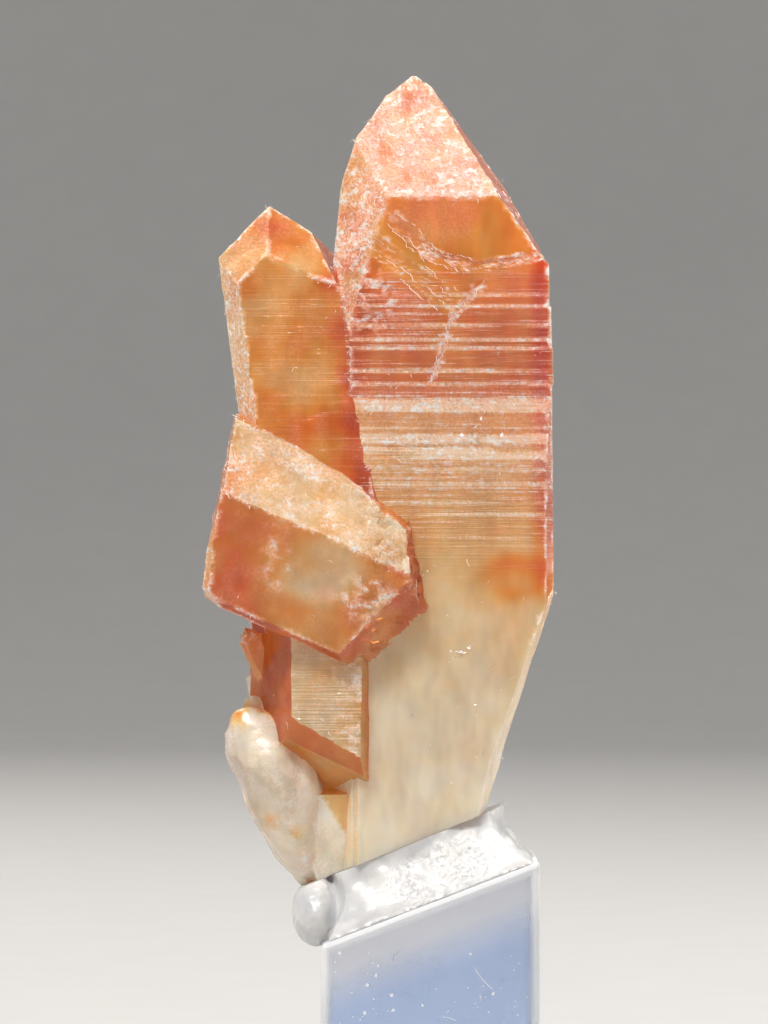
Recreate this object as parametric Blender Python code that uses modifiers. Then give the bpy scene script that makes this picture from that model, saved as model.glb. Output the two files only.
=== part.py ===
"""A cluster of intergrown quartz points, glued on a clear square bar.

Blender 4.5 script. Values are in millimetres until MM turns them into metres. +Z is up, -Y is the
front, +X is to the right, and the origin is the middle of the bar's underside.
"""

import math
import random

import bmesh
import bpy
from mathutils import Matrix, Vector

MM = 0.001
GAP = 0.3

# The bar: a square rod of clear plastic, sawn level below and on a slant above.
BAR_SIDE = 15.0
BAR_MID_HEIGHT = 17.0
BAR_SLANT = 21.0
BAR_EDGE = 0.3

# The main point: a six-sided column whose front face steps out going down.
MAIN_FRONT = -4.6
MAIN_BACK = 4.6
MAIN_LEFT_EDGE = -5.21
MAIN_RIGHT_EDGE = 7.99
MAIN_LEFT_FACE = 3.4
MAIN_RIGHT_FACE = 1.1
MAIN_TIP = Vector((-0.9, 2.0, 74.5))
# Each ledge of the front face: its top, its foot and how far it steps out.
MAIN_FRONT_LEDGES = (
    (58.96, 58.84, 0.05), (58.15, 58.03, 0.05), (56.85, 56.7, 0.06), (55.85, 55.7, 0.05),
    (55.25, 55.1, 0.05), (53.7, 53.5, 0.06), (52.75, 52.6, 0.05), (51.7, 50.8, 0.2),
    (49.7, 49.6, 0.04), (49.2, 48.6, 0.13), (48.3, 47.5, 0.14), (46.85, 46.7, 0.03),
    (45.85, 45.7, 0.03), (44.55, 44.4, 0.03), (43.75, 43.6, 0.03),
)
SIDE_LEDGE_STEP = (0.03, 0.09)

# The second point leans away to the left and back.
SECOND_LEAN = Vector((-0.135, 0.14, 0.98)).normalized()
SECOND_TIP = Vector((-11.25, 0.3, 65.35))

# The cross crystal lies over the front, its long axis dropping to the right.
CROSS_DROP = 24.0

# The stub is a short broken column below the cross crystal.
STUB_FRONT = -5.6
STUB_LEFT_EDGE = -9.58
STUB_RIGHT_EDGE = -4.75

# The underside that the glue holds is one plane, rising to the right.
BASE_POINT = Vector((-9.0, 0.0, 17.8))
BASE_SLANT = 22.2

GLUE_COLUMNS = 36


def facing(azimuth, slope=90.0):
    """Outward normal of a face: its bearing from the front towards +X, and its slope from level."""
    a, s = math.radians(azimuth), math.radians(slope)
    return Vector((math.sin(s) * math.sin(a), -math.sin(s) * math.cos(a), math.cos(s)))


def upright(azimuth, axis):
    """Normal of a column's side face, square to the column's axis."""
    level = facing(azimuth)
    return (level - level.dot(axis) * axis).normalized()


def to_object(name, bm, group):
    """A new object from a mesh in millimetres."""
    bm.normal_update()
    bmesh.ops.recalc_face_normals(bm, faces=bm.faces)
    bm.transform(Matrix.Scale(MM, 4))
    mesh = bpy.data.meshes.new(name)
    bm.to_mesh(mesh)
    bm.free()
    made = bpy.data.objects.new(name, mesh)
    group.objects.link(made)
    return made


def cut_by(bm, faces):
    """Cuts a mesh down to what lies behind every (normal, point) plane, and closes each cut."""
    for normal, point in faces:
        everything = list(bm.verts) + list(bm.edges) + list(bm.faces)
        cut = bmesh.ops.bisect_plane(
            bm, geom=everything, dist=1e-5, plane_co=point, plane_no=normal, clear_outer=True
        )["geom_cut"]
        rim = [part for part in cut if isinstance(part, bmesh.types.BMEdge) and part.is_boundary]
        if rim:
            bmesh.ops.contextual_create(bm, geom=rim)


def buried(depth):
    """A lower end parallel to the underside and that far below it, for the last cut to trim."""
    return (facing(90.0, 180.0 - BASE_SLANT), BASE_POINT - Vector((0.0, 0.0, depth)))


def flat_faced(name, faces, group, around=(0.0, 0.0, 40.0)):
    """A solid with one flat face for each (normal, point) pair."""
    bm = bmesh.new()
    bmesh.ops.create_cube(bm, size=160.0, matrix=Matrix.Translation(around))
    cut_by(bm, faces)
    return to_object(name, bm, group)


def add_boolean(target, operation, other):
    modifier = target.modifiers.new(other.name, "BOOLEAN")
    modifier.operation = operation
    modifier.object = other


def stepped_slab(name, normal, point, axis, ledges, group):
    """A slab whose outer side steps out, going down, at each (top, foot, step) ledge.

    Its lowest part is flush with the plane through the point, and ledge heights run along the axis.
    """
    across = axis.cross(normal).normalized()
    inset = sum(step for _, _, step in ledges)
    outline = [(-30.0, 120.0), (-inset, 120.0)]
    for top, foot, step in sorted(ledges, reverse=True):
        outline.append((-inset, top))
        inset -= step
        outline.append((-max(inset, 0.0), foot))
    outline += [(0.0, -60.0), (-30.0, -60.0)]
    base = point - point.dot(axis) * axis
    bm = bmesh.new()
    corners = [bm.verts.new(base + normal * out + axis * up - across * 40.0) for out, up in outline]
    side = bm.faces.new(corners)
    swept = bmesh.ops.extrude_face_region(bm, geom=[side])["geom"]
    moved = [part for part in swept if isinstance(part, bmesh.types.BMVert)]
    bmesh.ops.translate(bm, verts=moved, vec=across * 80.0)
    return to_object(name, bm, group)


def scattered_ledges(rng, low, high, count):
    """Small ledges at uneven heights between two levels."""
    room = (high - low) / count
    ledges = []
    for i in range(count):
        foot = low + room * (i + 0.15 + 0.5 * rng.random())
        step = rng.uniform(*SIDE_LEDGE_STEP)
        ledges.append((foot + step * rng.uniform(1.0, 3.0), foot, step))
    return ledges


def step_faces(target, sides, axis, rng, group):
    """Cuts ledges into side faces, given as (name, azimuth, point, lowest, highest, count)."""
    for name, azimuth, point, low, high, count in sides:
        ledges = scattered_ledges(rng, low, high, count)
        slab = stepped_slab(name, upright(azimuth, axis), point, axis, ledges, group)
        add_boolean(target, "INTERSECT", slab)


def half_turn_corner(start, azimuth, width):
    """Where a side face that starts at one corner ends, going round away from the front."""
    turn = -1.0 if azimuth < 0 else 1.0
    along = facing(azimuth + 90.0 * turn)
    return start + along * width


def main_point(group):
    """The large point: column, six tip faces, and a lower end that narrows to the right."""
    front_left = Vector((MAIN_LEFT_EDGE, MAIN_FRONT, 0.0))
    front_right = Vector((MAIN_RIGHT_EDGE, MAIN_FRONT, 0.0))
    left = half_turn_corner(front_left, -60.0, MAIN_LEFT_FACE)
    right = half_turn_corner(front_right, 60.0, MAIN_RIGHT_FACE)
    back = Vector((0.0, MAIN_BACK, 0.0))
    top_front = MAIN_FRONT + sum(step for _, _, step in MAIN_FRONT_LEDGES)
    column = [
        (facing(0.0), front_left), (facing(60.0), front_right), (facing(120.0), right),
        (facing(180.0), back), (facing(-120.0), left), (facing(-60.0), front_left),
    ]
    tip = [
        (facing(0.0, 58.0), Vector((0.0, top_front, 65.8))),
        (facing(78.0, 55.0), Vector((4.65, top_front, 65.97))),
        (facing(-36.0, 79.8), Vector((-3.1, top_front, 65.8))),
        (facing(-105.0, 46.0), Vector((-2.6, 1.5, 73.4))),
        (facing(-100.0, 61.0), Vector((-4.3, 1.0, 70.9))),
        (facing(-97.0, 73.0), Vector((-5.9, 0.5, 67.1))),
        (facing(180.0, 52.0), MAIN_TIP),
        (facing(130.0, 60.0), MAIN_TIP),
    ]
    foot = [
        (facing(62.0, 107.2), Vector((8.47, -3.65, 37.15))),
        (facing(160.0, 104.0), Vector((2.0, MAIN_BACK, 33.0))),
        (facing(90.0, 107.6), Vector((4.0, 0.0, 23.6))),
        buried(1.0),
    ]
    made = flat_faced("main_point", column + tip + foot, group)
    ledges = stepped_slab(
        "front_ledges", facing(0.0), front_left, Vector((0, 0, 1)), MAIN_FRONT_LEDGES, group
    )
    add_boolean(made, "INTERSECT", ledges)
    sides = (
        ("right_ledges", 60.0, front_right, 42.0, 60.0, 4),
        ("right_back_ledges", 120.0, right, 36.0, 64.0, 8),
        ("back_ledges", 180.0, back, 38.0, 66.0, 8),
        ("left_back_ledges", -120.0, left, 36.0, 64.0, 8),
        ("left_ledges", -60.0, front_left, 50.0, 60.0, 3),
    )
    step_faces(made, sides, Vector((0, 0, 1)), random.Random(4), group)
    return made


def main_foot(group):
    """The main point's lower end, a slightly set back column that narrows down to the base."""
    front = Vector((0.0, MAIN_FRONT + 0.1, 0.0))
    faces = [
        (facing(0.0), front), (facing(64.0, 100.0), Vector((5.3, MAIN_FRONT, 32.6))),
        (facing(118.0, 98.0), Vector((5.6, 0.6, 31.0))), (facing(-60.0), Vector((-5.0, MAIN_FRONT, 0.0))),
        (facing(-120.0), Vector((-6.5, -1.8, 0.0))), (facing(172.0, 97.0), Vector((0.0, 3.6, 30.0))),
        (facing(120.0), Vector((8.2, -3.65, 0.0))), (facing(90.0, 107.6), Vector((4.0, 0.0, 23.6))),
        (facing(0.0, 25.0), Vector((0.0, 0.0, 40.0))), buried(1.5),
    ]
    return flat_faced("main_foot", faces, group)


def second_point(group):
    """The smaller point, leaning left; its lower end is buried in the cross crystal."""
    axis = SECOND_LEAN
    front_left = Vector((-13.05, -3.0, 57.0))
    left = Vector((-14.25, -0.92, 57.0))
    back = Vector((-11.0, 3.4, 57.0))
    column = [
        (upright(0.0, axis), front_left), (upright(-60.0, axis), front_left),
        (upright(-120.0, axis), left), (upright(180.0, axis), back),
        (upright(120.0, axis), Vector((-3.5, 0.0, 57.0))),
        (upright(60.0, axis), Vector((-5.0, -3.0, 57.0))),
    ]
    ridge_foot = Vector((-11.4, -2.34, 61.7))
    tip = [
        (facing(12.0, 55.0), ridge_foot), (facing(-31.4, 57.5), ridge_foot),
        (facing(-100.0, 47.8), SECOND_TIP), (facing(100.0, 34.0), SECOND_TIP),
        (facing(80.0, 60.0), Vector((-7.6, 0.0, 62.5))),
        (facing(180.0, 50.0), SECOND_TIP + Vector((0.0, 0.3, -0.15))),
    ]
    foot = [(facing(0.0, 180.0), Vector((-10.0, 0.0, 41.0)))]
    made = flat_faced("second_point", column + tip + foot, group)
    sides = (
        ("second_front_ledges", 0.0, front_left, 47.0, 60.0, 4),
        ("second_left_ledges", -120.0, left, 46.0, 60.0, 5),
        ("second_back_ledges", 180.0, back, 44.0, 60.0, 5),
    )
    step_faces(made, sides, axis, random.Random(8), group)
    return made


def cross_crystal(group):
    """The blocky crystal across the front: a frosted upper face and an upright lower one."""
    drop = math.radians(CROSS_DROP)
    up = Vector((math.sin(drop), 0.0, math.cos(drop)))
    out = Vector((0.0, -1.0, 0.0))

    def side(tilt, point):
        """A face along the axis, tilted up from the front by some degrees."""
        t = math.radians(tilt)
        return (out * math.cos(t) + up * math.sin(t), Vector(point))

    faces = [
        side(31.0, (-9.7, -7.2, 43.3)),
        side(-5.0, (-9.7, -7.2, 43.3)),
        side(-52.0, (-11.1, -6.6, 36.3)),
        side(-95.0, (-11.1, -5.9, 35.7)),
        side(80.0, (-9.0, -1.0, 49.0)),
        side(178.0, (-9.0, 2.6, 42.0)),
        side(130.0, (-9.0, 1.0, 46.0)),
        side(-140.0, (-9.0, 1.6, 36.6)),
        (facing(-84.0, 76.5), Vector((-14.2, -6.2, 46.5))),
        (facing(-50.0, 88.0), Vector((-14.9, -6.9, 42.0))),
        (facing(-96.0, 82.0), Vector((-15.45, -5.5, 40.8))),
        (facing(-75.0, 128.0), Vector((-15.6, -6.0, 38.6))),
        (facing(74.0, 80.0), Vector((-1.2, -6.3, 40.4))),
        (facing(48.0, 46.0), Vector((-2.9, -5.6, 43.6))),
        (facing(34.6, 122.5), Vector((-0.83, MAIN_FRONT, 36.3))),
    ]
    return flat_faced("cross_crystal", faces, group)


def stub_column(group):
    """The short column below: fine ledges in front, and a broken lower end in two slants."""
    front_left = Vector((STUB_LEFT_EDGE, STUB_FRONT, 0.0))
    front_right = Vector((STUB_RIGHT_EDGE, STUB_FRONT, 0.0))
    left = half_turn_corner(front_left, -60.0, 6.0)
    faces = [
        (facing(0.0), front_left), (facing(60.0), front_right), (facing(-60.0), front_left),
        (facing(-120.0), left), (facing(180.0), Vector((0.0, 3.4, 0.0))),
        (facing(0.0, 20.0), Vector((-8.0, 0.0, 42.0))),
        (facing(-170.0, 48.0), Vector((-10.0, 3.4, 35.5))),
        (facing(-38.0, 140.0), Vector((-9.24, STUB_FRONT, 28.3))),
        (facing(-14.0, 112.0), Vector((-8.9, -4.3, 26.2))),
        buried(2.0),
    ]
    made = flat_faced("stub_column", faces, group)
    sides = (
        ("stub_front_ledges", 0.0, front_left, 28.5, 35.0, 6),
        ("stub_left_ledges", -60.0, front_left, 29.0, 35.0, 3),
    )
    step_faces(made, sides, Vector((0, 0, 1)), random.Random(15), group)
    return made


def small_crystals(group):
    """Low points on the sides and back: (foot, lean, width, length, turn) of each."""
    specs = (
        ((-12.1, -1.6, 34.2), (-0.4, -0.25, 0.88), 1.5, 1.9, 10.0),
        ((-6.4, 2.9, 30.0), (-0.1, 0.16, 0.98), 5.8, 9.5, 25.0),
        ((0.6, 3.2, 26.5), (0.05, 0.2, 0.97), 5.2, 7.0, 5.0),
        ((-10.2, 1.2, 30.5), (-0.16, 0.12, 0.97), 4.6, 5.0, 40.0),
    )
    made = []
    for i, (foot, lean, width, length, turn) in enumerate(specs):
        axis = Vector(lean).normalized()
        foot = Vector(foot)
        faces = [(-axis, foot - axis * 3.0)]
        for k in range(6):
            out = upright(turn + 60.0 * k, axis)
            faces.append((out, foot + out * width * (0.5 if k % 3 else 0.42)))
            tip = (out * 0.72 + axis * (0.69 if k % 2 else 0.58)).normalized()
            faces.append((tip, foot + axis * length))
        made.append(flat_faced(f"small_point_{i + 1}", faces, group, foot))
    return made


def knob(group):
    """The milky lump at the lower left: a lumpy form that swells at the top and narrows to the right."""
    top, bottom = Vector((-12.3, -1.7, 27.6)), Vector((-8.0, -1.0, 20.4))
    rng = random.Random(21)
    bm = bmesh.new()
    bmesh.ops.create_icosphere(bm, subdivisions=4, radius=1.0)
    for vert in bm.verts:
        x, y, z = vert.co
        bump = math.sin(5.1 * x + 1.0) * math.sin(4.3 * y) + 0.7 * math.sin(7.0 * z + 2.0 * x)
        reach = 1.0 + 0.05 * bump + rng.uniform(-0.01, 0.01)
        centre = top.lerp(bottom, 0.5 - 0.5 * z)
        swell = 1.0 + 0.3 * z
        vert.co = centre + Vector((3.0 * swell * x, 3.2 * swell * y, 3.1 * z)) * reach
    return to_object("knob", bm, group)


def base_fill(group):
    """The clear stretch between the knob and the main point, just above the glue."""
    faces = [
        (facing(-10.0, 97.0), Vector((-7.0, -3.4, 22.0))), (facing(-75.0, 112.0), Vector((-8.9, -1.0, 19.5))),
        (facing(-105.0, 95.0), Vector((-9.4, 0.5, 21.0))), (facing(170.0), Vector((-6.0, 2.6, 20.0))),
        (facing(90.0), Vector((-3.0, 0.0, 20.0))), (facing(-30.0, 14.0), Vector((-7.5, -2.0, 24.6))),
        buried(2.5),
    ]
    return flat_faced("base_fill", faces, group)


def groove(name, start, end, width, depth, group):
    """A shallow V across the main point's front face, between two (x, z) places."""
    surface = MAIN_FRONT + sum(step for _, _, step in MAIN_FRONT_LEDGES)
    a = Vector((start[0], surface, start[1]))
    b = Vector((end[0], surface, end[1]))
    along = (b - a).normalized()
    across = along.cross(Vector((0, -1, 0))).normalized()
    bm = bmesh.new()
    bmesh.ops.create_cube(bm, size=1.0)
    frame = Matrix((along, across, Vector((0, -1, 0)))).transposed().to_4x4()
    slanted = Matrix.Rotation(math.radians(45.0), 4, "X")
    shape = Matrix.Diagonal(((b - a).length, width / math.sqrt(2), depth * math.sqrt(2), 1.0))
    bm.transform(Matrix.Translation((a + b) / 2) @ frame @ shape @ slanted)
    return to_object(name, bm, group)


def surface_cuts(group):
    """Chips and growth pits on the smooth upper part of the main point's front face."""
    lines = (
        ((-2.6, 64.2), (0.2, 61.5), 0.9, 0.16), ((0.0, 61.7), (2.9, 60.9), 0.8, 0.14),
        ((2.7, 60.8), (7.4, 61.5), 0.7, 0.12), ((3.5, 59.7), (1.6, 57.4), 0.6, 0.12),
        ((1.7, 57.6), (0.1, 52.8), 0.5, 0.08), ((-4.3, 62.8), (1.4, 58.4), 1.5, 0.2),
    )
    cuts = []
    for i, (start, end, width, depth) in enumerate(lines):
        cuts.append(groove(f"chip_{i + 1}", start, end, width, depth, group))
    rng = random.Random(33)
    surface = MAIN_FRONT + sum(step for _, _, step in MAIN_FRONT_LEDGES)
    for i in range(14):
        size = rng.uniform(0.35, 0.7)
        place = (rng.uniform(-4.6, -2.0), surface + 0.05 * size, rng.uniform(55.6, 60.8))
        bm = bmesh.new()
        bmesh.ops.create_cube(bm, size=size)
        turn = Matrix.Rotation(rng.uniform(0.0, 1.5), 4, "Y") @ Matrix.Rotation(0.7, 4, "X")
        bm.transform(Matrix.Translation(place) @ turn @ Matrix.Rotation(0.6, 4, "Z"))
        cuts.append(to_object(f"pit_{i + 1}", bm, group))
    return cuts


def crystal_cluster(parts, helpers):
    """Every crystal and the knob, grown into one body."""
    body = main_point(helpers)
    cluster = bpy.data.objects.new("crystal_cluster", body.data.copy())
    parts.objects.link(cluster)
    for modifier in body.modifiers:
        add_boolean(cluster, modifier.operation, modifier.object)
    bpy.data.objects.remove(body)
    for cut in surface_cuts(helpers):
        add_boolean(cluster, "DIFFERENCE", cut)
    joined = [main_foot(helpers), second_point(helpers), cross_crystal(helpers), stub_column(helpers)]
    for other in joined + small_crystals(helpers) + [knob(helpers), base_fill(helpers)]:
        add_boolean(cluster, "UNION", other)
    below = flat_faced("below_base", [(facing(-90.0, BASE_SLANT), BASE_POINT)], helpers, (0, 0, -50))
    add_boolean(cluster, "DIFFERENCE", below)
    return cluster


def bar_top(x):
    """Height of the bar's sawn top."""
    return BAR_MID_HEIGHT + math.tan(math.radians(BAR_SLANT)) * x


def glue_ring(level):
    """Outline of the glue at one level, from 0 on the bar to 1 under the crystals."""
    centre_x = -1.1 * level
    half_x = 7.35 - 0.75 * level
    half_y = 7.3 - 2.3 * level
    ring = []
    for i in range(GLUE_COLUMNS):
        a = 2.0 * math.pi * i / GLUE_COLUMNS
        square = 1.0 / max(abs(math.cos(a)), abs(math.sin(a)))
        round_off = 1.0 + (square - 1.0) * (0.92 - 0.6 * level)
        folds = 1.0 + 0.02 * math.sin(5.0 * a + 2.0 * level) + 0.015 * math.sin(11.0 * a - 4.0 * level)
        waist = 1.0 - 0.10 * math.sin(math.pi * level)
        reach = round_off * (1.0 + (folds - 1.0) * math.sin(math.pi * level)) * waist
        ring.append((centre_x + half_x * reach * math.cos(a), half_y * reach * math.sin(a)))
    return ring


def glue_pad(parts, helpers):
    """Clear glue between the bar and the crystals, with a drip down the left side."""
    levels = 7
    bm = bmesh.new()
    rings = []
    for k in range(levels + 1):
        level = k / levels
        rise = 0.15 + 4.6 * level
        rings.append([bm.verts.new((x, y, bar_top(x) + rise)) for x, y in glue_ring(level)])
    for low, high in zip(rings, rings[1:]):
        for i in range(GLUE_COLUMNS):
            j = (i + 1) % GLUE_COLUMNS
            bm.faces.new((low[i], low[j], high[j], high[i]))
    bm.faces.new(reversed(rings[0]))
    bm.faces.new(rings[-1])
    over_bar = (facing(90.0, 180.0 - BAR_SLANT), Vector((0.0, 0.0, BAR_MID_HEIGHT + GAP)))
    under_base = (facing(-90.0, BASE_SLANT), BASE_POINT - Vector((0.0, 0.0, GAP + 0.05)))
    cut_by(bm, [over_bar, under_base])
    pad = to_object("glue_pad", bm, parts)
    drips = (((-7.9, -2.4, 16.1), (1.75, 3.4, 2.5)), ((-7.3, 3.0, 16.6), (1.0, 2.6, 1.6)))
    for i, (centre, radii) in enumerate(drips):
        drip = bmesh.new()
        bmesh.ops.create_icosphere(drip, subdivisions=3, radius=1.0)
        drip.transform(Matrix.Translation(centre) @ Matrix.Diagonal((*radii, 1.0)))
        cut_by(drip, [under_base])
        add_boolean(pad, "UNION", to_object(f"drip_{i + 1}", drip, helpers))
    clearance = bmesh.new()
    bmesh.ops.create_cube(clearance, size=1.0)
    side = BAR_SIDE + 2.0 * GAP
    clearance.transform(Matrix.Translation((0, 0, 20.0)) @ Matrix.Diagonal((side, side, 40.0, 1.0)))
    cut_by(clearance, [(-over_bar[0], over_bar[1])])
    add_boolean(pad, "DIFFERENCE", to_object("bar_clearance", clearance, helpers))
    return pad


def clear_bar(parts):
    """The square bar with slightly eased edges."""
    bm = bmesh.new()
    bmesh.ops.create_cube(bm, size=1.0)
    bm.transform(Matrix.Translation((0, 0, 20.0)) @ Matrix.Diagonal((BAR_SIDE, BAR_SIDE, 40.0, 1.0)))
    cut_by(bm, [(facing(-90.0, BAR_SLANT), Vector((0.0, 0.0, BAR_MID_HEIGHT)))])
    bar = to_object("clear_bar", bm, parts)
    eased = bar.modifiers.new("eased_edges", "BEVEL")
    eased.width = BAR_EDGE * MM
    eased.segments = 2
    eased.limit_method = "ANGLE"
    return bar


def material(name, colour, roughness, transmission):
    made = bpy.data.materials.new(name)
    made.use_nodes = True
    shader = made.node_tree.nodes["Principled BSDF"]
    shader.inputs["Base Color"].default_value = (*colour, 1.0)
    shader.inputs["Roughness"].default_value = roughness
    shader.inputs["Metallic"].default_value = 0.0
    shader.inputs["Transmission Weight"].default_value = transmission
    made.diffuse_color = (*colour, 1.0)
    return made


def finish_object(made, look):
    made.data.materials.clear()
    made.data.materials.append(look)


def main():
    for old in list(bpy.data.objects):
        bpy.data.objects.remove(old, do_unlink=True)
    parts = bpy.data.collections.new("quartz_cluster_on_bar")
    helpers = bpy.data.collections.new("cutters")
    for group in (parts, helpers):
        bpy.context.scene.collection.children.link(group)
    stone = material("iron_stained_quartz", (0.62, 0.25, 0.1), 0.25, 0.4)
    finish_object(crystal_cluster(parts, helpers), stone)
    finish_object(glue_pad(parts, helpers), material("clear_glue", (0.78, 0.77, 0.72), 0.35, 0.6))
    finish_object(clear_bar(parts), material("clear_acrylic", (0.8, 0.86, 0.9), 0.08, 0.9))
    for helper in helpers.objects:
        helper.hide_render = True
        helper.display_type = "WIRE"


main()
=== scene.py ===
"""Looks of a quartz cluster glued on a clear square bar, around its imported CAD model.

Blender 4.5 script. Values are in millimetres until MM turns them into metres. +Z is up, -Y is the
front, +X is to the right, and the origin is the middle of the bar's underside.

The stone's surface is made from the same planes as the CAD solid, with growth relief added, and
every relief only cuts into the solid. Its colour, frost and milkiness are painted on as numbers
for each face corner, and the material turns them into tint, roughness and transmission.
"""

import math
import random

import bpy
import numpy as np
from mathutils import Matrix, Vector
from mathutils.bvhtree import BVHTree


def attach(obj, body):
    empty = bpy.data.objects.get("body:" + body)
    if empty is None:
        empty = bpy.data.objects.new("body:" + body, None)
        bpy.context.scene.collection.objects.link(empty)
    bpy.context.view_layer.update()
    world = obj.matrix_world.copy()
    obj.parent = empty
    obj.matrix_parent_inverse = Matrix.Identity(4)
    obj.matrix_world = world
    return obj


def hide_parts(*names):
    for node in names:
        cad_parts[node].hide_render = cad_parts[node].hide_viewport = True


MM = 0.001

# The bar and the slanted underside of the stone.
BAR_SIDE = 15.0
BAR_MID_HEIGHT = 17.0
BAR_SLANT = 21.0
BASE_POINT = np.array((-9.0, 0.0, 17.8))
BASE_SLANT = 22.2

# The main point.
MAIN_FRONT = -4.6
MAIN_BACK = 4.6
MAIN_LEFT_EDGE = -5.21
MAIN_RIGHT_EDGE = 7.99
MAIN_LEFT_FACE = 3.4
MAIN_RIGHT_FACE = 1.1
MAIN_TIP = np.array((-0.9, 2.0, 74.5))
# Each ledge of the front face: its top, its foot and how far it steps out.
MAIN_FRONT_LEDGES = (
    (58.96, 58.84, 0.05), (58.15, 58.03, 0.05), (56.85, 56.7, 0.06), (55.85, 55.7, 0.05),
    (55.25, 55.1, 0.05), (53.7, 53.5, 0.06), (52.75, 52.6, 0.05), (51.7, 50.8, 0.2),
    (49.7, 49.6, 0.04), (49.2, 48.6, 0.13), (48.3, 47.5, 0.14), (46.85, 46.7, 0.03),
    (45.85, 45.7, 0.03), (44.55, 44.4, 0.03), (43.75, 43.6, 0.03),
)
SIDE_LEDGE_STEP = (0.015, 0.045)
# Chips across the front face: start and end as (x, z), width and depth.
MAIN_CHIPS = (
    ((-2.6, 64.2), (0.2, 61.5), 0.9, 0.16), ((0.0, 61.7), (2.9, 60.9), 0.8, 0.14),
    ((2.7, 60.8), (7.4, 61.5), 0.7, 0.12), ((3.5, 59.7), (1.6, 57.4), 0.6, 0.12),
    ((1.7, 57.6), (0.1, 52.8), 0.5, 0.08), ((-4.3, 62.8), (1.4, 58.4), 1.5, 0.2),
)

SECOND_LEAN = np.array((-0.135, 0.14, 0.98))
SECOND_TIP = np.array((-11.25, 0.3, 65.35))
CROSS_DROP = 24.0
STUB_FRONT = -5.6
STUB_LEFT_EDGE = -9.58
STUB_RIGHT_EDGE = -4.75
# Low points on the sides and back: foot, lean, width, length and turn of each.
SMALL_POINTS = (
    ((-12.1, -1.6, 34.2), (-0.4, -0.25, 0.88), 1.5, 1.9, 10.0),
    ((-6.4, 2.9, 30.0), (-0.1, 0.16, 0.98), 5.8, 9.5, 25.0),
    ((0.6, 3.2, 26.5), (0.05, 0.2, 0.97), 5.2, 7.0, 5.0),
    ((-10.2, 1.2, 30.5), (-0.16, 0.12, 0.97), 4.6, 5.0, 40.0),
)
KNOB_MIDDLE = np.array((-10.15, -1.35, 24.0))
KNOB_LEAN = np.array((-2.15, -0.35, 3.6))
KNOB_RADII = np.array((3.0, 3.2, 3.1))
KNOB_SWELL = 0.3

# Painted glints: fine white slivers on the skin that stand in for highlights.
GLINT_COUNT = 1500
GLINT_STRIDE = 0.11
GLINT_THICKNESS = (0.015, 0.045)
# Lines of sight start here, in front of everything, to find places on the skin.
SIGHT_START = -12.0

# Clusters of tiny shards at the main point's front: middle x and z, spread and count.
INCLUSIONS = (
    (2.1, 34.3, 0.45, 16), (-0.2, 39.6, 0.12, 2), (3.6, 49.2, 0.7, 12), (0.5, 27.0, 2.0, 9),
    (4.5, 31.0, 0.8, 5),
)

# The glue keeps this far off the bar and the stone.
GLUE_GAP = 0.02
# The glue's drips over the bar's left edge: how softly they join it, and middle and radii of each.
DRIP_BLEND = 0.5
DRIPS = (((-7.9, -2.4, 16.1), (1.75, 3.4, 2.5)), ((-7.3, 3.0, 16.6), (1.0, 2.6, 1.6)))

# Lint on the bar: how much on its front and on each other side.
LINT_SPECKS = (110, 45)
LINT_FIBRES = (12, 5)

# The grids that the surfaces are found on: low end, high end and spacing along each axis.
STONE_X = (-16.6, 9.4, 0.29)
STONE_Y = (-8.3, 7.6, 0.29)
STONE_Z = ((15.9, 43.4, 0.28), (43.4, 62.2, 0.12), (62.2, 75.2, 0.25))
GLUE_GRID = ((-10.2, 8.2, 0.2), (-7.9, 7.9, 0.2), (12.6, 24.4, 0.2))
# How often a crossing of the surface is halved to find it, and how firmly a vertex stays near
# the middle of its crossings.
HALVINGS = 7
HOLD = 0.03
# Edges that bend by more than this many degrees stay sharp.
STONE_SHARP = 24.0
GLUE_SHARP = 40.0

# The round dish that is floor and backdrop: where it starts to rise, its curve, top and sides.
DISH_FLOOR = 660.0
DISH_CURVE = 340.0
DISH_TOP = 700.0
DISH_TURNS = 96

# The camera stands level in front of the middle of the frame.
CAMERA_AT = (-3.19, -397.5, 43.85)
CAMERA_LENS = 200.0
CAMERA_SENSOR = 36.0

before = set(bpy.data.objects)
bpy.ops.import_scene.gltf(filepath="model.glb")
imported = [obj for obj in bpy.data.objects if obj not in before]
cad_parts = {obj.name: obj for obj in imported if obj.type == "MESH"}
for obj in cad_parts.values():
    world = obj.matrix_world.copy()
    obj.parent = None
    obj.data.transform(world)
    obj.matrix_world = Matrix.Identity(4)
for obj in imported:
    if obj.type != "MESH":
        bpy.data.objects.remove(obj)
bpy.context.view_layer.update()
UP = np.array((0.0, 0.0, 1.0))


# Small helpers: directions, smooth steps and noise.


def unit(vector):
    vector = np.asarray(vector, float)
    return vector / np.linalg.norm(vector)


def facing(azimuth, slope=90.0):
    """Outward normal of a face: its bearing from the front towards +X, and its slope from level."""
    a, s = math.radians(azimuth), math.radians(slope)
    return np.array((math.sin(s) * math.sin(a), -math.sin(s) * math.cos(a), math.cos(s)))


def upright(azimuth, axis):
    """Normal of a column's side face, square to the column's axis."""
    level = facing(azimuth)
    return unit(level - level.dot(axis) * axis)


def smooth(value, low, high):
    """0 below low, 1 above high, and a soft step between."""
    t = np.clip((value - low) / (high - low), 0.0, 1.0)
    return t * t * (3.0 - 2.0 * t)


def spot(p, centre, radii):
    """1 in the middle of a soft-edged ellipse seen from the front, 0 outside it."""
    across = (p[:, 0] - centre[0]) / radii[0]
    along = (p[:, 2] - centre[1]) / radii[1]
    return smooth(-np.hypot(across, along), -1.0, -0.45)


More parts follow.
